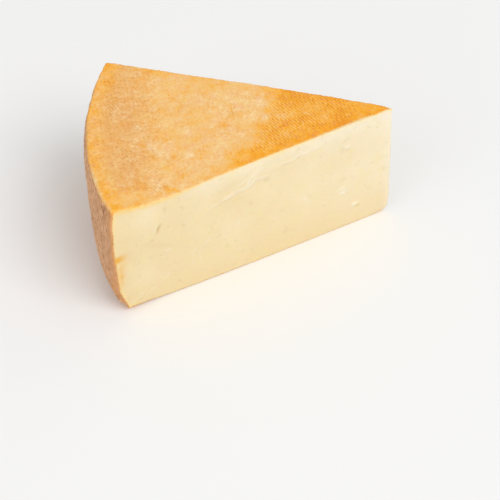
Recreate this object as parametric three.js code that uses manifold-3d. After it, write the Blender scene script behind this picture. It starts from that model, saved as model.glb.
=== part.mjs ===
// A wedge cut from a round, flat wheel of washed-rind cheese, lying on the wheel's own bottom face.
// Millimetres, +Z up. The point of the wedge faces +X, the rind of the wheel's side faces -X, and the
// origin is under the middle of the wedge, on the face that it rests on.
//
// It is made the way the real one is: the whole wheel is turned, and a knife takes one wedge out of it.
import * as THREE from "three";
import { mergeVertices } from "three/addons/utils/BufferGeometryUtils.js";
import Module from "manifold-3d";

// The wheel.
const wheelRadius = 167.1; // at the upper edge of its side
const wheelHeight = 77.5;
const sideBulge = 3.1; // how far the side stands out past wheelRadius
const shoulder = { height: 19.5, corner: 4.5 }; // where the side curves in below the top face
const tuck = { height: 20, corner: 15, depth: 4.2 }; // where it curves in above the bottom face
const edgeRound = 1; // rounding of the rind's upper and lower edges
const wheelSegments = 300;
const curveSteps = 8; // points on each curved stretch of the wheel's side

// The two cuts, taken by hand: each swings a little off a straight line from the point to the rind.
const wedgeAngle = 42.8; // degrees between the cuts
const pointPastCentre = { x: 4.2, y: 4.7 }; // where they would meet, seen from the middle of the wheel
const pointLean = { x: 1.2, y: 0.9 }; // how much further on they would meet at the top face
const pointWidth = 0.8; // the point is blunt
const frontCut = { side: -1, topBow: 2.9, bottomBow: -1.2, bowPeak: 0.87 };
const backCut = { side: 1, topBow: 1.5, bottomBow: 0.5, bowPeak: 0.5 };
const cutStations = 26; // places along a cut where its outline may turn
const cutLevels = 7; // places up a cut
const overcut = 12; // how far the knife runs on past the wheel, all round

// The lower corner of the point, worn round where the wedge was set down.
const wornLength = 10;
const wornHeight = 5;
const wornSteps = 10;

const pasteColour = 0xf3dfb2;
const mergeDistance = 1e-4;

const halfAngle = THREE.MathUtils.degToRad(wedgeAngle / 2);
const wasm = await Module();
wasm.setup();

function solidOf(geometry) {
  const bare = geometry.index ? geometry.toNonIndexed() : geometry.clone();
  bare.deleteAttribute("normal");
  bare.deleteAttribute("uv");
  const merged = mergeVertices(bare, mergeDistance);
  return new wasm.Manifold(
    new wasm.Mesh({
      numProp: 3,
      vertProperties: new Float32Array(merged.attributes.position.array),
      triVerts: new Uint32Array(merged.index.array),
    }),
  );
}

function geometryOf(solid) {
  const { vertProperties, triVerts } = solid.getMesh();
  const geometry = new THREE.BufferGeometry();
  geometry.setAttribute("position", new THREE.BufferAttribute(vertProperties, 3));
  geometry.setIndex(new THREE.BufferAttribute(triVerts, 1));
  const flat = geometry.toNonIndexed();
  flat.computeVertexNormals();
  return flat;
}

// Half of the wheel's section, from the axis at the bottom, round the bulging side, to the axis at the top.
function wheelSection() {
  const bottomRadius = wheelRadius - tuck.depth;
  const widest = wheelRadius + sideBulge;
  const section = new THREE.Path();
  section.moveTo(0, 0);
  section.lineTo(bottomRadius - edgeRound, 0);
  section.quadraticCurveTo(bottomRadius, 0, bottomRadius, edgeRound);
  section.quadraticCurveTo(widest, tuck.corner, widest, tuck.height);
  section.lineTo(widest, wheelHeight - shoulder.height);
  section.quadraticCurveTo(
    widest, wheelHeight - shoulder.corner,
    wheelRadius, wheelHeight - edgeRound,
  );
  section.quadraticCurveTo(wheelRadius, wheelHeight, wheelRadius - edgeRound, wheelHeight);
  section.lineTo(0, wheelHeight);
  return section.getPoints(curveSteps);
}

function wheel() {
  const turned = new THREE.LatheGeometry(wheelSection(), wheelSegments);
  turned.rotateX(Math.PI / 2); // the lathe turns about Y, and the wheel stands on Z
  return solidOf(turned);
}

// Directions of a cut, seen from above: along it, from the point to the rind, and square to it, outwards.
function directions(cut) {
  return {
    along: new THREE.Vector2(-Math.cos(halfAngle), cut.side * Math.sin(halfAngle)),
    outward: new THREE.Vector2(Math.sin(halfAngle), cut.side * Math.cos(halfAngle)),
  };
}

// How far a cut stands out from a straight line, at a share of its length and a level of the height.
function bowOf(cut, share, level) {
  if (share <= 0 || share >= 1) return 0;
  const peakPower = Math.log(0.5) / Math.log(cut.bowPeak);
  return THREE.MathUtils.lerp(cut.bottomBow, cut.topBow, level) * Math.sin(Math.PI * share ** peakPower);
}

// The wedge's outline from above, with straight cuts. They meet at 0, 0, short of which the point is
// blunt. The far end is the chord from cut to cut, and that chord clears the side of the wheel.
function straightOutline() {
  const start = pointWidth / 2 / Math.sin(halfAngle);
  const past = wheelRadius + sideBulge + Math.abs(pointPastCentre.x) + overcut;
  const reach = past / Math.cos(halfAngle);
  const stations = (cut) =>
    Array.from({ length: cutStations + 1 }, (_, i) =>
      directions(cut).along.multiplyScalar(THREE.MathUtils.lerp(start, reach, i / cutStations)),
    );
  return new THREE.Shape([...stations(frontCut), ...stations(backCut).reverse()]);
}

// The space between the two cuts: the outline pushed up through the wheel, then bowed and leant.
function knifeSpace() {
  const space = new THREE.ExtrudeGeometry(straightOutline(), {
    depth: wheelHeight + 2 * overcut,
    steps: cutLevels,
    bevelEnabled: false,
  });
  space.translate(0, 0, -overcut);
  const cutLength = wheelRadius + pointPastCentre.x;
  const places = space.attributes.position;
  for (let i = 0; i < places.count; i++) {
    const place = new THREE.Vector2(places.getX(i), places.getY(i));
    const cut = place.y < 0 ? frontCut : backCut;
    const { along, outward } = directions(cut);
    const share = place.dot(along) / cutLength;
    const level = THREE.MathUtils.clamp(places.getZ(i) / wheelHeight, 0, 1);
    place.addScaledVector(outward, bowOf(cut, share, level));
    place.addScaledVector(pointLean, level * Math.max(0, 1 - share));
    places.setXY(i, place.x, place.y);
  }
  space.translate(pointPastCentre.x, pointPastCentre.y, 0);
  return solidOf(space);
}

// What has worn away from the lower corner of the point.
function wornCorner() {
  const pointX = pointPastCentre.x - pointWidth / 2 / Math.tan(halfAngle);
  const outline = new THREE.Shape();
  outline.moveTo(pointX - wornLength, 0);
  outline.quadraticCurveTo(pointX, 0, pointX, wornHeight);
  outline.lineTo(pointX + overcut, wornHeight);
  outline.lineTo(pointX + overcut, -overcut);
  outline.lineTo(pointX - wornLength, -overcut);
  outline.closePath();
  const worn = new THREE.ExtrudeGeometry(outline, {
    depth: 2 * overcut,
    curveSegments: wornSteps,
    bevelEnabled: false,
  });
  worn.translate(0, 0, -overcut); // drawn in X and height, and pushed out along Y
  worn.rotateX(Math.PI / 2);
  worn.translate(0, pointPastCentre.y, 0);
  return solidOf(worn);
}

function cheeseWedge() {
  const cut = wheel().intersect(knifeSpace()).subtract(wornCorner());
  const mesh = new THREE.Mesh(
    geometryOf(cut),
    new THREE.MeshStandardMaterial({ color: pasteColour, roughness: 0.55, metalness: 0 }),
  );
  mesh.name = "cheese_wedge";
  mesh.geometry.computeBoundingBox();
  const middle = mesh.geometry.boundingBox.getCenter(new THREE.Vector3());
  mesh.position.set(-middle.x, -middle.y, 0);
  return mesh;
}

const cheese = new THREE.Group();
cheese.add(cheeseWedge());

export default cheese;
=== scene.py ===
import math
from types import SimpleNamespace
import bpy
import numpy as np
from mathutils import Matrix, Vector, noise
from mathutils.bvhtree import BVHTree


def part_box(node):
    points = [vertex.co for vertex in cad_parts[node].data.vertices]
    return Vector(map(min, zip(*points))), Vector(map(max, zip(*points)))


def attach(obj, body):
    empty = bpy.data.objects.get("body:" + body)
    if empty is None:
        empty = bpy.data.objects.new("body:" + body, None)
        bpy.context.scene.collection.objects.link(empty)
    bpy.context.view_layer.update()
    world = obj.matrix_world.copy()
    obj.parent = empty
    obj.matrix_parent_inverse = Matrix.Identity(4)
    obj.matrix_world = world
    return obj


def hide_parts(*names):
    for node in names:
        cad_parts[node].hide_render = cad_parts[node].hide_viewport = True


# a wedge of washed-rind cheese, resting on a pale floor
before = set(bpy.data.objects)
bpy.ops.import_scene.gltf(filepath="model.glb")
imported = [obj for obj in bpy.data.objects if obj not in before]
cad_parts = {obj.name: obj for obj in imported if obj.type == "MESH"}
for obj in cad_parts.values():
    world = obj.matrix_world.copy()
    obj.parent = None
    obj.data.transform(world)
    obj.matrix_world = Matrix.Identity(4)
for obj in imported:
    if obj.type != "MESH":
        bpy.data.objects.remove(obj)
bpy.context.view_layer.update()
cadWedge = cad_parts["cheese_wedge"]
lowCorner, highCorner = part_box("cheese_wedge")
mm = 0.001


def selectOnly(piece):
    bpy.ops.object.select_all(action="DESELECT")
    piece.select_set(True)
    bpy.context.view_layer.objects.active = piece


def pointAt(thing, target, roll=0.0):
    back = (thing.location - Vector(target)).normalized()
    right = Vector((0, 0, 1)).cross(back).normalized()
    up = back.cross(right)
    turned = right * math.cos(roll) + up * math.sin(roll)
    columns = Matrix((turned, back.cross(turned), back)).transposed()
    thing.rotation_euler = columns.to_euler()


camera = dict(
    target=(1.892 * mm, -22.368 * mm, 0.0),
    azimuth=-5.853,  # degrees, as the other two angles are
    elevation=46.261,
    roll=-1.2215,
    distance=816.475 * mm,
    lens=101.89,
    sensor=36,
    clip=(0.05, 20),
)


def addCamera():
    azimuth = math.radians(camera["azimuth"])
    elevation = math.radians(camera["elevation"])
    back = Vector((
        math.sin(azimuth) * math.cos(elevation),
        -math.cos(azimuth) * math.cos(elevation),
        math.sin(elevation),
    ))
    bpy.ops.object.camera_add(location=Vector(camera["target"]) + back * camera["distance"])
    eye = bpy.context.object
    eye.name = "viewCamera"
    eye.data.sensor_width = camera["sensor"]
    eye.data.lens = camera["lens"]
    eye.data.clip_start, eye.data.clip_end = camera["clip"]
    pointAt(eye, camera["target"], math.radians(camera["roll"]))
    bpy.context.scene.camera = eye


studio = dict(
    floorSize=8.0,
    floorLevel=-0.05 * mm,  # a hair under the wedge
    floorTone=(0.9, 0.9, 0.895, 1),
    floorRoughness=0.9,
    floorShine=0.1,
    skyTone=(1.0, 1.0, 1.0, 1),
    skyPower=0.64,
    lampsAim=(0, 0, 30 * mm),
    lamps=(  # name, place, size, watts
        ("keySoftbox", (2.1, -2.4, 3.6), 3.2, 112.0),
        ("fillSoftbox", (-2.6, -2.2, 2.2), 2.4, 16.0),
    ),
)


def addStudio():
    bpy.ops.mesh.primitive_plane_add(size=studio["floorSize"], location=(0, 0, studio["floorLevel"]))
    floor = bpy.context.object
    floor.name = "studioFloor"
    paint = bpy.data.materials.new("floorPaint")
    paint.use_nodes = True
    shader = paint.node_tree.nodes["Principled BSDF"]
    shader.inputs["Base Color"].default_value = studio["floorTone"]
    shader.inputs["Roughness"].default_value = studio["floorRoughness"]
    shader.inputs["Specular IOR Level"].default_value = studio["floorShine"]
    floor.data.materials.append(paint)
    world = bpy.data.worlds.new("studioSky")
    world.use_nodes = True
    sky = world.node_tree.nodes["Background"]
    sky.inputs["Color"].default_value = studio["skyTone"]
    sky.inputs["Strength"].default_value = studio["skyPower"]
    bpy.context.scene.world = world
    for name, place, size, watts in studio["lamps"]:
        bpy.ops.object.light_add(type="AREA", location=place)
        lamp = bpy.context.object
        lamp.name = name
        lamp.data.size = size
        lamp.data.energy = watts
        pointAt(lamp, studio["lampsAim"])
    bpy.context.scene.view_settings.view_transform = "Standard"


addCamera()
addStudio()
print("stage: camera, floor and lights")


widest = 170.2  # the wheel's radius where its side stands out most, in mm
wedge = dict(
    axis=Vector((lowCorner.x + widest * mm, -4.052 * mm, 0)),  # of the wheel that it was cut from
    height=highCorner.z,
    segments=240,
    spare=3.2 * mm,  # left on all round until the shape is drawn onto the CAD one
    rings=(  # height, radius
        (1, 163), (5, 166), (12, 168.6), (20, widest), (58, widest), (68, 169.2), (76.5, 167.1),
    ),
    meetingPoint=(4.2 * mm, 4.7 * mm),  # of the cuts, from the axis
    halfAngle=math.radians(21.4),
    together=0.01 * mm,  # points nearer than this are one
    roughGrain=1.6 * mm,
    grain=0.86 * mm,
)


def applied(piece, kind, **settings):
    modifier = piece.modifiers.new(kind.title(), kind)
    for name, value in settings.items():
        setattr(modifier, name, value)
    selectOnly(piece)
    bpy.ops.object.modifier_apply(modifier=modifier.name)


def roughWedge():
    axis, height = wedge["axis"], wedge["height"]
    startRadius = wedge["rings"][0][1] * mm
    bpy.ops.object.select_all(action="DESELECT")
    bpy.ops.mesh.primitive_cylinder_add(
        vertices=wedge["segments"],
        radius=startRadius,
        depth=height,
        location=axis + Vector((0, 0, height / 2)),
    )
    cheese = bpy.context.object
    cheese.name = "cheeseWedge"
    bpy.ops.object.transform_apply(location=True, rotation=True, scale=True)
    bpy.ops.object.mode_set(mode="EDIT")
    for level, _ in wedge["rings"]:
        bpy.ops.mesh.select_all(action="SELECT")
        bpy.ops.mesh.bisect(plane_co=(0, 0, level * mm), plane_no=(0, 0, 1))
    for level, radius in wedge["rings"]:
        bpy.ops.mesh.select_all(action="DESELECT")
        bpy.ops.object.mode_set(mode="OBJECT")
        for vertex in cheese.data.vertices:
            vertex.select = abs(vertex.co.z - level * mm) < wedge["together"]
        bpy.ops.object.mode_set(mode="EDIT")
        share = (radius * mm + wedge["spare"]) / startRadius
        bpy.ops.transform.resize(value=(share, share, 1), center_override=axis + Vector((0, 0, level * mm)))
    meeting = axis + Vector((*wedge["meetingPoint"], 0))
    for side in (-1, 1):
        outward = Vector((math.sin(wedge["halfAngle"]), side * math.cos(wedge["halfAngle"]), 0))
        bpy.ops.mesh.select_all(action="SELECT")
        bpy.ops.mesh.bisect(
            plane_co=meeting + outward * wedge["spare"],
            plane_no=outward,
            use_fill=True,
            clear_outer=True,
        )
    bpy.ops.mesh.select_all(action="SELECT")
    bpy.ops.mesh.bisect(
        plane_co=(highCorner.x + wedge["spare"], 0, 0),
        plane_no=(1, 0, 0),
        use_fill=True,
        clear_outer=True,
    )
    bpy.ops.mesh.select_all(action="SELECT")
    bpy.ops.mesh.remove_doubles(threshold=wedge["together"])
    bpy.ops.mesh.normals_make_consistent(inside=False)
    bpy.ops.object.mode_set(mode="OBJECT")
    for grain in (wedge["roughGrain"], wedge["grain"]):
        applied(cheese, "REMESH", mode="VOXEL", voxel_size=grain)
        applied(cheese, "SHRINKWRAP", target=cadWedge, wrap_method="NEAREST_SURFACEPOINT")
    return cheese


cheese = roughWedge()
print("wedge: cut and drawn onto the CAD shape,", len(cheese.data.polygons), "faces")


# from here on, places and distances are in mm
frontOut = Vector((math.sin(wedge["halfAngle"]), -math.cos(wedge["halfAngle"]), 0))
backOut = Vector((math.sin(wedge["halfAngle"]), math.cos(wedge["halfAngle"]), 0))
frontAlong = np.array((-math.cos(wedge["halfAngle"]), -math.sin(wedge["halfAngle"])))
backAlong = np.array((-math.cos(wedge["halfAngle"]), math.sin(wedge["halfAngle"])))
axisPlace = np.array(wedge["axis"].xy) / mm
meetingPlace = np.array(wedge["axis"].xy + Vector(wedge["meetingPoint"])) / mm
facing = dict(level=0.9, levelBand=0.3 * mm, cut=0.7, point=0.3)


def faceOf(polygon):
    normal = polygon.normal
    if normal.z > facing["level"] and polygon.center.z > wedge["height"] - facing["levelBand"]:
        return "top"
    if normal.z < -facing["level"]:
        return "bottom"
    if normal.dot(frontOut) > facing["cut"] or (normal.x > facing["point"] and normal.y < 0):
        return "front"
    if normal.dot(backOut) > facing["cut"] or normal.x > facing["point"]:
        return "back"
    return "side"


def distances(piece):
    places = [vertex.co.copy() for vertex in cadWedge.data.vertices]
    found = {}
    for name in ("top", "bottom", "front", "back", "side"):
        faces = [tuple(p.vertices) for p in cadWedge.data.polygons if faceOf(p) == name]
        tree = BVHTree.FromPolygons(places, faces)
        found[name] = np.array([tree.find_nearest(v.co)[3] for v in piece.data.vertices]) / mm
    return found


def placesOf(piece):
    places = np.empty(len(piece.data.vertices) * 3)
    piece.data.vertices.foreach_get("co", places)
    return places.reshape(-1, 3) / mm


def normalsOf(piece):
    normals = np.empty(len(piece.data.vertices) * 3)
    piece.data.vertices.foreach_get("normal", normals)
    return normals.reshape(-1, 3)


def movePoints(piece, places):
    piece.data.vertices.foreach_set("co", (places * mm).ravel())
    piece.data.update()


def ramp(value, start, end):
    share = np.clip((value - start) / (end - start), 0, 1)
    return share * share * (3 - 2 * share)


def curve(value, points):
    return np.interp(value, *zip(*points))


def unit(degrees):
    return np.array((math.cos(math.radians(degrees)), math.sin(math.radians(degrees))))


def grainNoise(places, size, seed=0):
    shift = Vector((seed * 17.3, seed * 5.1, seed * 9.7))
    return np.array([noise.noise(Vector(place) / size + shift) for place in places])


near = distances(cheese)
places = placesOf(cheese)
x, y, z = places.T
alongFront = (places[:, :2] - meetingPlace) @ frontAlong
alongBack = (places[:, :2] - meetingPlace) @ backAlong
nearCut = np.minimum(near["front"], near["back"])
nearRind = np.minimum(np.minimum(near["top"], near["bottom"]), near["side"])
onTop, onBottom, onFront, onBack, onSide = (
    ramp(near[name], 1.2, 0.3) for name in ("top", "bottom", "front", "back", "side")
)
wander = np.stack([grainNoise(places, 5.0, seed) for seed in (1, 2)], 1)
print("wedge: measured what each point is near")


# marks left by hands, knife and cloth
# each: middle, length, width, turn in degrees, paleness, stain, lift; on the cuts some of the paleness is
# painted highlight on raised lumps and smears, and some of the stain is painted shade in grooves, slits and
# pits and beside lumps
topMarks = (  # x, y
    ((11, 22), 18, 11, -25, 0.30, 0, 0),
    ((8, 31.5), 34, 4, -21, 0.40, 0, 0),
    ((14, 3.5), 3.2, 2.4, 20, 0.85, 0, 0.15),
    ((24, 1.5), 5.5, 4.5, -40, 0.65, 0, 0.1),
    ((24, -13), 6, 4, -40, 0.6, 0, 0.1),
    ((-30, -22), 5.5, 4, 70, 0.6, 0, 0.1),
    ((-48, -15), 13, 3, -60, 0.5, 0, 0.1),
    ((-61, 48), 6, 7, 0, 0.35, 0, 0),
    ((-54, 50), 7, 5, 0, 0.3, 0, 0),
    ((-64, -16), 9, 3.5, -50, 0.35, 0, 0),
    ((-47, -46), 8, 7, 30, 0.45, 0, 0.2),
    ((-8, -7), 8, 14, 10, 0.2, 0, 0),
    ((-36, 32), 14, 8, 0, 0.18, 0, 0),
    ((15, 14), 7, 5, 30, 0.3, 0, 0),
    ((-9.5, 0.5), 9, 4.4, -72, 0, 0.55, -0.15),
    ((-38, -23), 3.6, 3, 30, 0, 0.5, -0.1),
    ((-42.5, -30), 3.4, 3, 0, 0, 0.4, -0.1),
    ((-43, -46), 9, 3.4, -65, 0, 0.6, -0.25),
    ((-39, -49), 5, 3, -20, 0, 0.5, -0.2),
    ((-49, -51), 4, 2, 20, 0, 0.4, -0.2),
    ((13, 22), 7, 2.4, -30, 0, 0.5, -0.1),
    ((-67, 44.5), 4.5, 1.8, 20, 0, 0.5, 0),
    ((-62, 43.5), 5, 1.8, -30, 0, 0.5, 0),
    ((-59.8, 38), 5, 1.8, -80, 0, 0.5, 0),
    ((-64, 35), 5, 1.8, 10, 0, 0.35, 0),
    ((17, 8), 5, 4, 30, 0, 0.3, 0),
    ((24, -5), 6, 4, 10, 0, 0.5, 0),
    ((14, -20), 9, 5, -20, 0, 0.15, 0),
    ((-53, -11), 4, 3, 30, 0, 0.4, 0),
    ((-66, -6), 8, 4, -60, 0, 0.35, 0),
    ((-12, 33), 6, 3, -50, 0, 0.4, 0),
    ((-33, 23), 5, 3, 30, 0, 0.3, 0),
    ((-22, 15), 5, 3, 0, 0, 0.3, 0),
    ((-46, 49), 6, 5, 0, 0, 0.35, 0),
    ((-75, -30), 8, 5, 60, 0, 0.3, 0),
)
frontMarks = (  # distance from the point, height
    ((94.5, 61.6), 28, 2.3, 167, 0.85, 0, 0.5),
    ((105, 59.6), 12, 1.7, 163, 0.6, 0, 0.35),
    ((96.5, 65.5), 14, 1.4, 150, 0.6, 0, 0.3),
    ((91.5, 66.5), 15, 2.0, 134, 0.8, 0, 0.45),
    ((88, 66.5), 10, 1.4, 125, 0.5, 0, 0.25),
    ((111, 57.5), 16, 1.4, 160, 0.5, 0, 0.25),
    ((86, 69.5), 14, 1.4, 165, 0.5, 0, 0.2),
    ((101, 66.5), 10, 1.1, 145, 0.45, 0, 0.2),
    # painted shade in the grooves between the smear's streaks
    ((99, 60), 26, 1.8, 160, 0, 0.08, -0.35),
    ((95.5, 67.5), 12, 1.2, 135, 0, 0.08, -0.3),
    ((106, 66), 12, 3, 165, 0, 0.08, -0.1),
    ((92, 74), 66, 3.5, 178, 0.5, 0, 0.15),
    ((56, 70.3), 40, 2.4, 172, 0.85, 0, 0.3),
    ((70, 66.5), 24, 2.0, 170, 0, 0.07, -0.2),
    # a darkened groove: painted shade
    ((86.5, 62.8), 6, 1.5, 165, 0, 0.3, -0.45),
    ((82.8, 61), 4, 1.3, 65, 0, 0.3, -0.35),
    # a slit darkened inside with painted shade, and a painted highlight on the lump beside it
    ((147.6, 56), 6, 2.0, 112, 0, 0.7, -0.8),
    ((149.8, 57.5), 5, 1.8, 112, 0.6, 0, 0.4),
    ((151.5, 49.5), 3.8, 2.2, 20, 0, 0.3, -0.25),
    ((148.5, 44), 16, 3.5, 28, 0, 0.14, -0.15),
    ((155, 48), 7, 4, 10, 0, 0.14, 0),
    ((119, 32.5), 5, 1.4, 150, 0.6, 0, 0.3),
    ((127.5, 29), 4, 1.2, 150, 0.4, 0, 0.25),
    ((143, 37), 3.5, 1.6, 150, 0.4, 0, 0.2),
    ((100, 37), 4.5, 1.4, 120, 0.5, 0, 0.3),
    ((107, 33), 5, 1.2, 160, 0.3, 0, 0.15),
    ((57, 35), 6, 1.2, 62, 0.5, 0, 0.25),
    ((55, 31), 4.5, 1.2, 155, 0.45, 0, 0.2),
    ((124, 22), 11, 0.9, 88, 0.35, 0, 0.15),
    ((128, 22), 11, 0.9, 90, 0.3, 0, 0.15),
    ((34, 31.5), 7, 1.6, 152, 0.8, 0, 0.4),
    ((38, 27.5), 7, 1.2, 165, 0.5, 0, 0.25),
    ((32.4, 28.8), 7, 3.4, 160, 1.0, 0, 0.7),
    ((36, 30), 5, 1.0, 158, 0, 0.12, -0.2),
    ((24, 15.2), 5, 3, 165, 1.0, 0, 0.8),
    # painted shadow below the pale lump
    ((22.5, 12.5), 2.6, 1.6, 160, 0, 0.35, -0.6),
    ((31, 61.5), 3.6, 3, 0, 0.95, 0, 0.55),
    # painted shade below the pale lump
    ((30.5, 59.5), 2.6, 1.4, 160, 0, 0.2, -0.3),
    ((30, 72), 9, 1.4, 75, 0.5, 0, 0.3),
    ((31.5, 67.5), 4, 2.2, 160, 0, 0.18, 0),
    ((5, 45), 3, 3, 0, 0.6, 0, 0.3),
    ((33, 39), 4.5, 3, 0, 0, 0.18, -0.2),
    ((92, 48), 3.4, 1.6, 90, 0, 0.18, -0.2),
    ((45, 25.5), 12, 0.9, 22, 0.3, 0, 0.1),
    ((43, 22), 12, 0.9, 22, 0.25, 0, 0.1),
    ((160, 9), 8, 0.9, 135, 0.35, 0, 0.12),
    ((157, 7), 8, 0.8, 135, 0.35, 0, 0.12),
    ((153, 9), 7, 0.8, 135, 0.3, 0, 0.1),
    ((144.5, 16.5), 9, 1.0, 135, 0.4, 0, 0.14),
    ((165, 6), 6, 0.9, 135, 0.3, 0, 0.1),
    ((173, 43.6), 5.6, 9, 90, 0, 1.0, -0.2),
    ((168.6, 41), 7, 2.2, 88, 0, 0.25, -0.15),
    ((171.8, 31), 20, 4.4, 97, 0, 0.45, -0.15),
    ((171.2, 29.5), 5, 3.6, 90, 0, 0.7, -0.2),
)
backMarks = (  # distance from the point, height; the stained ones are pits and grooves darkened with painted shade
    ((60, 50), 30, 4, 20, 0.4, 0, 0.35),
    ((110, 24), 22, 3, 165, 0.4, 0, 0.3),
    ((95, 58), 6, 1.6, 80, 0, 0.5, -0.5),
    ((30, 30), 8, 2.5, 40, 0.6, 0, 0.3),
    ((138, 40), 4, 2, 100, 0, 0.6, -0.6),
    ((76, 33), 5, 1.8, 20, 0, 0.3, -0.5),
    ((148, 15), 10, 1.1, 45, 0.3, 0, 0.15),
    ((124, 66), 14, 3, 10, 0.4, 0, 0.2),
)


def markFields(flat, marks, shown, fray):
    paleness = np.zeros(len(flat))
    stain = np.zeros(len(flat))
    lift = np.zeros(len(flat))
    wandered = flat + wander * fray
    for middle, length, width, turn, pale, stained, lifted in marks:
        away = wandered - np.array(middle)
        along = away @ unit(turn) / (length / 2)
        across = away @ unit(turn + 90) / (width / 2)
        fit = np.exp(-0.9 * (along ** 2) ** 1.3 - 0.9 * across ** 2) * shown
        paleness = np.maximum(paleness, fit * pale)
        stain = np.maximum(stain, fit * stained)
        lift += fit * lifted
    return np.stack((paleness, stain, lift), 1)


marked = (
    markFields(places[:, :2], topMarks, onTop, 2.4)
    + markFields(np.stack((alongFront, z), 1), frontMarks, onFront, 1.3)
    + markFields(np.stack((alongBack, z), 1), backMarks, onBack, 1.2)
)
paleness, stain, lift = marked.T

# painted light on the front cut: paler towards the point, at the very tip and under its top edge, where the
# light falls strongest
pale = dict(
    towardsPoint=0.46,
    tip=0.35,
    rim=0.7,  # painted highlight on the rind, along the edge between its top and its side
    underTop=((0.22, 52, 74), (0.25, 66, 76)),  # how much, from what height, to what height
)


def paintedLightOnFront():
    lighter = pale["towardsPoint"] * ramp(alongFront, 85, 4) * (0.3 + 0.7 * z * mm / wedge["height"])
    lighter += pale["tip"] * ramp(alongFront, 8, 0)
    underTop = sum(much * ramp(z, low, high) for much, low, high in pale["underTop"])
    return (lighter + underTop * (0.2 + 0.8 * ramp(alongFront, 150, 105))) * onFront


# a painted highlight along the front-left edge between the rind's top and its side
def paintedHighlightRim():
    return pale["rim"] * ramp(near["side"], 1.6, 0.3) * ramp(near["top"], 1.6, 0.3) * ramp(y, -14, -34)


# paleness holds the pale marks together with the painted light and painted highlights
paleness = np.maximum(np.maximum(paleness, paintedLightOnFront()), paintedHighlightRim())

# how orange the rind is: 0 is bare and pale, 1 the deepest orange
tone = dict(
    plain=0.38,
    glow=0.36,  # so much more towards the point
    glowEdge=((-34, -3), (-22, 0), (-10, 7), (0, 11), (12, 17), (26, 22), (34, 26)),  # y, x
    alongSide=0.17,
    alongBack=0.14,
    alongFront=((-26, 0), (-8, 0.26), (5, 0.18), (14, 0.06), (24, 0.08), (36, 0.17)),  # x, how much
    frontCorner=0.10,
    pastGlowEdge=-0.10,
    tip=-0.17,
    spots=(  # middle, size, how much
        ((12, 25), (9, 7), 0.10),
        ((-12, 33), (9, 6), 0.06),
        ((-54, 46), (12, 9), 0.05),
        ((-30, -38), (8, 6), -0.05),
    ),
)
glowEdge = curve(y, tone["glowEdge"])


def rindTone():
    warmth = tone["plain"] + tone["glow"] * ramp(x - glowEdge + wander[:, 0] * 3, -8, 9)
    warmth += 0.04 * ramp(x, -10, -30)
    warmth += ramp(near["front"], 17, 0.5) * curve(x, tone["alongFront"])
    warmth += tone["alongSide"] * ramp(near["side"], 12, 1)
    warmth += tone["alongBack"] * ramp(near["back"], 9, 0.5)
    warmth += tone["frontCorner"] * ramp(x, -48, -64) * ramp(y, -36, -48)
    warmth += tone["pastGlowEdge"] * np.exp(-(((x - 14) / 7) ** 2)) * ramp(y, 22, 12)
    warmth += tone["tip"] * ramp(x, 58, 74)
    for middle, size, much in tone["spots"]:
        away = (places[:, :2] - np.array(middle)) / np.array(size)
        warmth += much * np.exp(-(away ** 2).sum(1))
    return warmth


# where the rind has dried to a tan
def driedTan():
    dried = ramp(x + wander[:, 1] * 6, -36, -62) * ramp(y, -54, -40)
    return onTop * dried * (0.35 + 0.65 * ramp(near["side"], 4, 13))


# where the cloth has printed clearly: towards the point, and in patches
clothPrint = dict(
    plain=0.5,
    frontCorner=-0.25,
    patches=(  # middle, radius, strength
        ((-69, 22), 13, 0.9),
        ((-62, -22), 14, 0.8),
        ((-5, 11), 9, 1.0),
        ((-62, 40), 8, 0.6),
        ((-10, -28), 12, 0.5),
        ((-46, -46), 7, 0.8),
    ),
)


def clothTrace():
    towardsPoint = ramp(x - glowEdge, -6, 8) * ramp(near["front"], 1, 7) * ramp(x, 72, 60)
    trace = np.maximum(towardsPoint, clothPrint["plain"])
    trace += clothPrint["frontCorner"] * ramp(x, -48, -62) * ramp(y, -36, -46)
    for middle, radius, strength in clothPrint["patches"]:
        away = np.linalg.norm(places[:, :2] + wander * 4 - np.array(middle), axis=1)
        trace = np.maximum(trace, strength * np.exp(-((away / radius) ** 2)))
    return trace * (onTop + onBottom)


# how far the paste shows past the edge of the rind: below nought, how thick the rind shows on the cut
rindEdge = dict(
    thickness=1.0,
    thickerSide=0.6,
    alongTopFront=(  # distance from the point, how much further the paste shows
        (0, 1.2), (12, 1.5), (18, 2.6), (38, 2.4), (60, 1.5),
        (118, 1.3), (128, 1.2), (140, 0.9), (156, 0.5),
    ),
)


def baredPaste():
    bared = ramp(near["bottom"], 6, 3) * (0.3 + 0.6 * ramp(near["side"], 4, 16)) - rindEdge["thickness"]
    upperSide = ramp(near["side"], 5, 2) * ramp(near["front"], 6, 2) * ramp(z, 20, 40)
    bared -= rindEdge["thickerSide"] * upperSide
    topFront = ramp(near["top"], 6, 2) * ramp(near["front"], 6, 2) * ramp(near["side"], 0, 5)
    return bared + topFront * curve(alongFront, rindEdge["alongTopFront"])


# how far the ripe, yellower paste reaches below the rind
ripening = dict(
    depth=1.4,
    lessBelow=2.0,
    moreAtSide=0.6,
    alongTopFront=((0, -1.6), (122, -1.4), (145, 1.0), (170, 1.6)),  # distance from the point, how much
)


def ripePaste():
    below = ramp(near["bottom"], 8, 4) * ramp(near["side"], 4, 16)
    ripe = ripening["depth"] - ripening["lessBelow"] * below
    ripe += ripening["moreAtSide"] * ramp(near["side"], 8, 4)
    topFront = ramp(near["top"], 16, 5) * ramp(near["front"], 6, 2)
    return ripe + topFront * curve(alongFront, ripening["alongTopFront"])


def paint(piece, name, values):
    layer = piece.data.attributes.new(name, "FLOAT", "POINT")
    layer.data.foreach_set("value", values.astype(np.float32))


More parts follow.
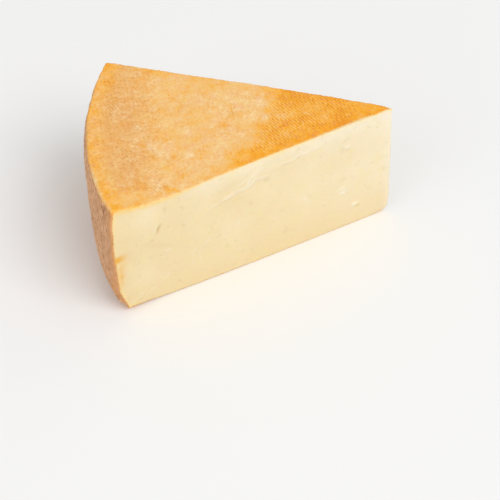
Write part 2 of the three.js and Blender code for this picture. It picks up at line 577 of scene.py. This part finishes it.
for name, values in dict(
    fromTop=near["top"],
    fromBottom=near["bottom"],
    fromSide=near["side"],
    fromCut=nearCut,
    warmth=rindTone(),
    tan=driedTan(),
    cloth=clothTrace(),
    bared=baredPaste(),
    ripe=ripePaste(),
    paleness=paleness,
    stain=stain,
).items():
    paint(cheese, name, values)
print("wedge: marks painted")


# the shape: waves of the knife, lumps, crumbs, worn corners
lightest = 0.004  # weights below this are left out


def weightGroup(piece, name, weights):
    group = piece.vertex_groups.new(name=name)
    for index in np.flatnonzero(weights > lightest):
        group.add([int(index)], float(weights[index]), "REPLACE")


def lumps(piece, name, size, depth, group, octaves):
    grain = bpy.data.textures.new(name, "CLOUDS")
    grain.noise_scale = size * mm
    grain.noise_depth = octaves
    applied(
        piece,
        "DISPLACE",
        texture=grain,
        texture_coords="LOCAL",
        strength=depth * mm,
        mid_level=0.5,
        vertex_group=group,
    )


relief = (  # name, size, depth, weights, octaves
    ("knifeWaves", 26, 0.9, "cutFaces", 1),
    ("knifeRipples", 6, 0.22, "cutFaces", 1),
    ("topSwell", 16, 0.7, "topRind", 1),
    ("topGrain", 3, 0.3, "topRind", 2),
    ("sideSwell", 14, 0.8, "sideRind", 1),
    ("sideGrain", 3.2, 0.8, "sideRind", 2),
    ("crumbs", 2.6, 0.8, "cutEdges", 1),
)

offFloor = ramp(z, 0.2, 3.0)
cutEdges = ramp(nearCut, 2.2, 0.2) * ramp(near["top"], 2.2, 0.2) * ramp(near["side"], 1, 4)
nicked = ramp(grainNoise(places, 9.0, 3), 0.0, 0.35)
cutEdges *= 0.2 + 0.8 * np.maximum(ramp(near["front"], 3, 1) * ramp(alongFront, 100, 125), nicked)
weightGroup(cheese, "cutFaces", np.maximum(onFront, onBack) * ramp(nearRind, 0, 4) * offFloor)
weightGroup(cheese, "topRind", onTop)
weightGroup(cheese, "sideRind", onSide * offFloor)
weightGroup(cheese, "cutEdges", cutEdges)

movePoints(cheese, places + normalsOf(cheese) * lift[:, None])
for name, size, depth, group, octaves in relief:
    lumps(cheese, name, size, depth, group, octaves)

wear = dict(  # the pairs are a distance from the point, or a height, and how much
    sideIn=0.4,  # the side lies a little flatter than the wheel's
    sideInAtFront=1.6,
    lowEdgeUp=((132, 0), (144, 0.5), (152, 1.1), (160, 1.9), (170, 2.8)),
    cornerIn=1.0,  # the upper front corner
    swingIn=((128, 0), (150, 0.9), (160, 1.4), (171, 2.6)),  # of the knife, as it came out at the rind
    backCornerUp=((128, 0), (168, 1.0)),
    bevel=(  # of the front edge of the side
        (0, -0.8), (3, -0.5), (8, 0.9), (15, 1.8), (22, 1.9), (30, 1.4),
        (38, 0.8), (46, 0.4), (54, 0.5), (62, 1.1), (70, 0.8), (77, 0),
    ),
    bellyOut=((1, 0), (5, 0.9), (10, 1.9), (20, 1.9), (28, 1.1), (38, 0)),
    tipIn=1.9,
    tipDown=0.7,
)


def nearFront(reach):
    return np.exp(-((near["front"] / reach) ** 2))


def wornPlaces():
    moved = placesOf(cheese)
    across, up = moved[:, :2], moved[:, 2]  # both stay views of the same places
    fromAxis = across - axisPlace
    outward = fromAxis / np.linalg.norm(fromAxis, axis=1)[:, None]
    flatter = wear["sideIn"] + wear["sideInAtFront"] * nearFront(40) * ramp(near["back"], 10, 30)
    flatter *= ramp(up, 3, 14) * ramp(up, 77, 72) * ramp(near["front"], -3, 8)
    across -= outward * (flatter * ramp(near["side"], 12, 0))[:, None]
    lowUp = curve(alongFront, wear["lowEdgeUp"])
    up += lowUp * np.clip(1 - up / 18, 0, 1) ** 2 * ramp(near["front"], 32, 0)
    corner = nearFront(10) * ramp(near["side"], 9, 0) * ramp(up, 66, 77)
    across -= outward * (wear["cornerIn"] * corner)[:, None]
    swing = curve(alongFront, wear["swingIn"]) * ramp(up, 58, 77) * nearFront(14)
    across -= np.array(frontOut.xy) * swing[:, None]
    up += curve(alongBack, wear["backCornerUp"]) * ramp(near["back"], 30, 0) * ramp(up, 40, 77)
    bevel = curve(up, wear["bevel"]) * nearFront(3.2) * ramp(near["side"], 8, 0)
    across -= frontAlong * bevel[:, None]
    belly = curve(up, wear["bellyOut"]) * ramp(near["side"], 6, 0)
    belly *= ramp(near["front"], 42, 12) * ramp(near["front"], 0, 4)
    across += outward * belly[:, None]
    moved[:, 0] -= wear["tipIn"] * ramp(up, 12, 76) * ramp(moved[:, 0], 70, 87)
    up -= wear["tipDown"] * ramp(up, 72, 77) * ramp(moved[:, 0], 80, 87)
    return moved


movePoints(cheese, wornPlaces())
selectOnly(cheese)
bpy.ops.object.shade_smooth()


# one socket of a material, so that its maths reads as an expression
class Wire:
    def __init__(self, recipe, socket):
        self.recipe = recipe
        self.socket = socket

    def maths(self, operation, first, second):
        return self.recipe.node("Math", {"operation": operation}, {0: first, 1: second})

    def __add__(self, other):
        return self.maths("ADD", self, other)

    __radd__ = __add__

    def __sub__(self, other):
        return self.maths("SUBTRACT", self, other)

    def __rsub__(self, other):
        return self.maths("SUBTRACT", other, self)

    def __mul__(self, other):
        return self.maths("MULTIPLY", self, other)

    __rmul__ = __mul__

    def least(self, other):
        return self.maths("MINIMUM", self, other)

    def wave(self):
        return self.recipe.node("Math", {"operation": "SINE"}, {0: self})


class Recipe:
    def __init__(self, name):
        self.material = bpy.data.materials.new(name)
        self.material.use_nodes = True
        self.tree = self.material.node_tree
        self.shader = self.tree.nodes["Principled BSDF"]

    def node(self, kind, settings, sockets, out=0):
        made = self.tree.nodes.new("ShaderNode" + kind)
        for name, value in settings.items():
            setattr(made, name, value)
        for name, value in sockets.items():
            self.plug(made.inputs[name], value)
        return Wire(self, made.outputs[out])

    def plug(self, socket, value):
        if isinstance(value, Wire):
            self.tree.links.new(value.socket, socket)
        else:
            socket.default_value = value

    def painted(self, name):
        return self.node("Attribute", {"attribute_name": name}, {}, out=2)

    def smooth(self, value, start, end):
        return self.node(
            "MapRange",
            {"interpolation_type": "SMOOTHSTEP"},
            {"Value": value, "From Min": start, "From Max": end},
        )

    def mix(self, share, first, second, blend="MIX"):
        return self.node(
            "Mix", {"data_type": "RGBA", "blend_type": blend}, {0: share, 6: first, 7: second}, out=2
        )

    def ramp(self, value, stops):
        made = self.node("ValToRGB", {}, {0: value})
        marks = made.socket.node.color_ramp.elements
        while len(marks) < len(stops):
            marks.new(0.5)
        for mark, (position, colour) in zip(marks, stops):
            mark.position = position
            mark.color = colour
        return made

    def grain(self, where, size, detail, roughness):
        return self.node(
            "TexNoise",
            {},
            {"Vector": where, "Scale": 1 / size, "Detail": detail, "Roughness": roughness},
        )

    def stripes(self, where, period, turn, drift):
        step = 2 * math.pi / period
        along = (math.cos(math.radians(turn)) * step, math.sin(math.radians(turn)) * step, 0)
        phase = self.node("VectorMath", {"operation": "DOT_PRODUCT"}, {0: where, 1: along}, out=1)
        return (phase + drift).wave()


def shown(red, green, blue):
    def linear(value):
        value /= 255
        return value / 12.92 if value <= 0.04045 else ((value + 0.055) / 1.055) ** 2.4
    return (linear(red), linear(green), linear(blue), 1)


finish = dict(
    rind=(  # from bare and pale to deep orange
        (0.05, shown(253, 229, 184)),
        (0.27, shown(247, 208, 148)),
        (0.42, shown(245, 195, 126)),
        (0.58, shown(248, 187, 94)),
        (0.74, shown(250, 176, 50)),
        (0.92, shown(247, 163, 28)),
        (1.0, shown(238, 150, 30)),
    ),
    side=(  # from painted shade in the bottoms of its creases to its flecks
        (0.22, shown(160, 106, 66)),
        (0.42, shown(204, 150, 104)),
        (0.60, shown(222, 168, 124)),
        (0.80, shown(238, 202, 164)),
    ),
    pinkish=shown(244, 190, 148),
    tan=shown(226, 160, 92),
    golden=shown(247, 201, 118),
    rindEdge=shown(230, 168, 84),
    rindTopEdge=shown(248, 203, 122),
    grime=shown(206, 140, 70),
    cutStain=shown(234, 174, 60),
    # grey tan of the painted shade in the cut's grooves, slits and pits, and of its faint smudges
    cutTanAndShade=shown(206, 172, 108),
    # painted shade inside the paste's small pits
    pitShade=shown(222, 202, 148),
    pasteYellow=shown(236, 220, 162),
    # warmer paste for the random mottle, and painted shade towards the side and the bottom
    sideWarm=shown(212, 150, 92),
    stain=shown(224, 148, 62),
    paste=shown(239, 220, 179),
    # paler paste for random specks and pale marks, and for painted light and highlights
    pastePaleAndLit=shown(243, 232, 207),
    pasteWarmAndShade=shown(233, 209, 160),
    ripe=shown(243, 212, 138),
    roughness=0.5,
    indexOfRefraction=1.45,
    shine=0.3,
    glowThrough=0.15,
    glowColour=(1.0, 0.6, 0.3),
    glowDepth=2 * mm,
)
weave = dict(
    period=1.65,
    turn=32.5,
    weftPeriod=1.9,
    slackPeriod=2.3,  # where the cloth lay loose
    slackTurn=4,
    depth=0.08,
)
grains = dict(  # size, detail, roughness
    broad=(13.0, 2.0, 0.5),
    patchy=(4.2, 3.0, 0.6),
    specks=(2.0, 3.0, 0.7),
    fine=(1.25, 2.0, 0.7),
    drift=(20.0, 1.0, 0.5),
    pinkish=(4.0, 4.0, 0.7),
    golden=(9.0, 3.0, 0.6),
    creases=(1.7, 4.0, 0.6),
    mottle=(30.0, 2.0, 0.4),
    pits=(3.4, 4.0, 0.65),
    bloom=(8.0, 4.0, 0.6),
)


def sharedWires(recipe):
    place = recipe.node("TexCoord", {}, {}, out=3)
    seen = SimpleNamespace()
    seen.here = recipe.node("VectorMath", {"operation": "SCALE"}, {0: place, "Scale": 1 / mm})
    for name in (
        "fromTop", "fromBottom", "fromSide", "fromCut",
        "warmth", "tan", "cloth", "bared", "ripe", "paleness", "stain",
    ):
        setattr(seen, name, recipe.painted(name))
    for name in ("broad", "patchy", "specks", "fine"):
        setattr(seen, name, recipe.grain(seen.here, *grains[name]) - 0.5)
    seen.depth = seen.fromTop.least(seen.fromSide).least(seen.fromBottom)
    seen.inward = seen.fromCut - seen.depth
    return seen


# the cloth's print: pale lines where its threads lay, broken up where the cloth lay loose
def clothThreads(recipe, seen):
    drift = recipe.grain(seen.here, *grains["drift"]) * 10.0 + seen.patchy * 5.0 + seen.specks * 6.0
    warp = recipe.stripes(seen.here, weave["period"], weave["turn"], drift)
    slack = recipe.stripes(seen.here, weave["slackPeriod"], weave["slackTurn"], drift * 0.8)
    weft = recipe.stripes(seen.here, weave["weftPeriod"], weave["turn"] - 90, drift * 1.4)
    threads = warp * (weft * 0.5 + 0.55) + slack * 0.3 + weft * 0.15
    hold = recipe.smooth(seen.patchy * 1.3 + seen.broad * 0.8 + seen.specks + seen.cloth * 0.62, 0.18, 0.7)
    return warp, threads * (hold * (seen.cloth * 0.65 + 0.35))


def topRind(recipe, seen, warp, threads):
    specks, fine = seen.specks, seen.fine
    busy = recipe.smooth(seen.cloth, 0.4, 0.9) * 0.45 + 0.55
    warmth = seen.warmth + seen.broad * 0.5 + seen.patchy * 0.65 + (specks * 0.95 + fine * 0.6) * busy
    dots = recipe.smooth(fine * 1.3 + specks * 0.6 + warp * 0.1, 0.14, 0.42)
    dots = dots * recipe.smooth(seen.cloth, 0.3, 1.0)
    # paleness lightens the rind's pale patches and its painted highlight along the top-side edge
    warmth = warmth - threads * 0.26 - dots * 0.4 + 0.04 - seen.paleness * 0.42 + seen.stain * 0.42
    rind = recipe.ramp(warmth, finish["rind"])
    orange = recipe.smooth(seen.warmth, 0.5, 0.75)
    pinkish = recipe.smooth(recipe.grain(seen.here, *grains["pinkish"]), 0.5, 0.68)
    rind = recipe.mix(pinkish * (0.42 - orange * 0.24), rind, finish["pinkish"])
    golden = recipe.smooth(recipe.grain(seen.here, *grains["golden"]), 0.47, 0.62)
    rind = recipe.mix(golden * (0.36 - orange * 0.36), rind, finish["golden"])
    grime = recipe.smooth(specks * 0.9 + fine * 1.1 - threads * 0.5, 0.0, 0.34)
    rind = recipe.mix(grime * (0.2 + seen.tan * 0.5), rind, finish["grime"])
    dried = recipe.smooth(seen.tan + seen.patchy * 1.6 + specks * 1.4, 0.1, 1.2)
    rind = recipe.mix(dried * 0.44, rind, finish["tan"])
    stained = recipe.smooth(seen.stain + specks * 0.8, 0.3, 0.95)
    return recipe.mix(stained * 0.7, rind, finish["stain"])


# the wheel's side is rougher, browner and creased from top to bottom, with painted shade in the bottoms of
# its creases
def sideRind(recipe, seen):
    drawn = recipe.node("VectorMath", {"operation": "MULTIPLY"}, {0: seen.here, 1: (1, 1, 0.4)})
    creases = recipe.grain(drawn, *grains["creases"])
    # darker where the creases sink: painted shade in the creases
    shade = creases * 1.2 + seen.patchy * 0.4 + seen.specks * 0.5 + seen.broad * 0.3 - 0.1
    side = recipe.ramp(shade, finish["side"])
    besideCut = recipe.smooth(seen.fromCut + seen.patchy * 8, 9.0, 0.5)
    side = recipe.mix(besideCut * 0.6, side, finish["sideWarm"])
    toSide = seen.fromTop.least(seen.fromBottom) - seen.fromSide
    share = recipe.smooth(toSide + seen.patchy * 2.0, 0.2, 2.2)
    return side, share, creases


# the paste, riper and yellower close under the rind
def cutPaste(recipe, seen, pits):
    patchy, specks = seen.patchy, seen.specks
    mottle = recipe.grain(seen.here, *grains["mottle"]) + patchy * 0.12
    bloom = recipe.smooth(recipe.grain(seen.here, *grains["bloom"]), 0.5, 0.66)
    riping = recipe.smooth(seen.depth + patchy * 3.4 + specks * 2.0 - seen.ripe, 2.2, -2.6)
    # away from the side the cut's stain marks take the grey tan, mostly painted shade in grooves, slits and
    # pits; by the side a real orange stain
    stained = recipe.mix(recipe.smooth(seen.fromSide, 14.0, 8.0), finish["cutTanAndShade"], finish["cutStain"])
    paste = finish["paste"]
    for share, colour in (
        (recipe.smooth(mottle, 0.3, 0.7) * 0.6, finish["pasteWarmAndShade"]),
        (recipe.smooth(specks, -0.05, 0.3) * 0.22, finish["pastePaleAndLit"]),
        # darker and warmer towards the side and the bottom: painted shade
        (recipe.smooth(seen.fromSide + patchy * 4, 22.0, 4.0) * 0.7, finish["pasteWarmAndShade"]),
        (recipe.smooth(seen.fromBottom + patchy * 4, 24.0, 1.0) * 0.75, finish["pasteWarmAndShade"]),
        # paleness on the cut: pale marks, painted highlights on lumps, and painted light towards the point
        # and the top
        (seen.paleness, finish["pastePaleAndLit"]),
        # the pits darkened: painted shade
        (pits * 0.3, finish["pitShade"]),
        (bloom * 0.3, finish["pasteYellow"]),
        (riping * 0.9, finish["ripe"]),
        (seen.stain, stained),
    ):
        paste = recipe.mix(share, paste, colour)
    return paste


def cheeseMaterial():
    recipe = Recipe("washedRindCheese")
    seen = sharedWires(recipe)
    specks, fine = seen.specks, seen.fine
    warp, threads = clothThreads(recipe, seen)
    side, sideShare, creases = sideRind(recipe, seen)
    rind = recipe.mix(sideShare, topRind(recipe, seen, warp, threads), side)
    pits = recipe.smooth(recipe.grain(seen.here, *grains["pits"]), 0.6, 0.7)
    paste = cutPaste(recipe, seen, pits)

    # the rind's edge on the cut: crisp along the side, ragged along the top
    pastEdge = seen.inward - seen.bared
    crisp = 2.2 - recipe.smooth(seen.fromSide - seen.fromTop, -1.0, 1.0) * 1.4
    kept = recipe.smooth((pastEdge + specks * 2.4 + seen.patchy * 1.2) * crisp, -1.1, 1.0)
    atSide = recipe.smooth(seen.fromTop - seen.fromSide, -1.0, 1.0)
    edge = recipe.mix(atSide, finish["rindTopEdge"], finish["rindEdge"])
    edge = recipe.mix(seen.stain, edge, finish["cutStain"])
    rind = recipe.mix(recipe.smooth(pastEdge, 0.5, -0.5), rind, edge)

    bumps = threads * weave["depth"] + specks * 0.14 + fine * 0.07
    bumps = (bumps + creases * sideShare * 0.4) * kept
    bumps = bumps + (fine * 0.05 + specks * 0.07 - pits * 0.12) * (1 - kept)
    normal = recipe.node("Bump", {}, {"Strength": 1.0, "Distance": mm, "Height": bumps})
    for name, value in {
        "Base Color": recipe.mix(kept, paste, rind),
        "Roughness": finish["roughness"] + specks * 0.12 + kept * 0.16,
        "Normal": normal,
        "IOR": finish["indexOfRefraction"],
        "Specular IOR Level": finish["shine"],
        "Subsurface Weight": finish["glowThrough"],
        "Subsurface Radius": finish["glowColour"],
        "Subsurface Scale": finish["glowDepth"],
    }.items():
        recipe.plug(recipe.shader.inputs[name], value)
    return recipe.material


cheese.data.materials.clear()
cheese.data.materials.append(cheeseMaterial())
print("wedge: material made")

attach(cheese, "root")
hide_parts("cheese_wedge")
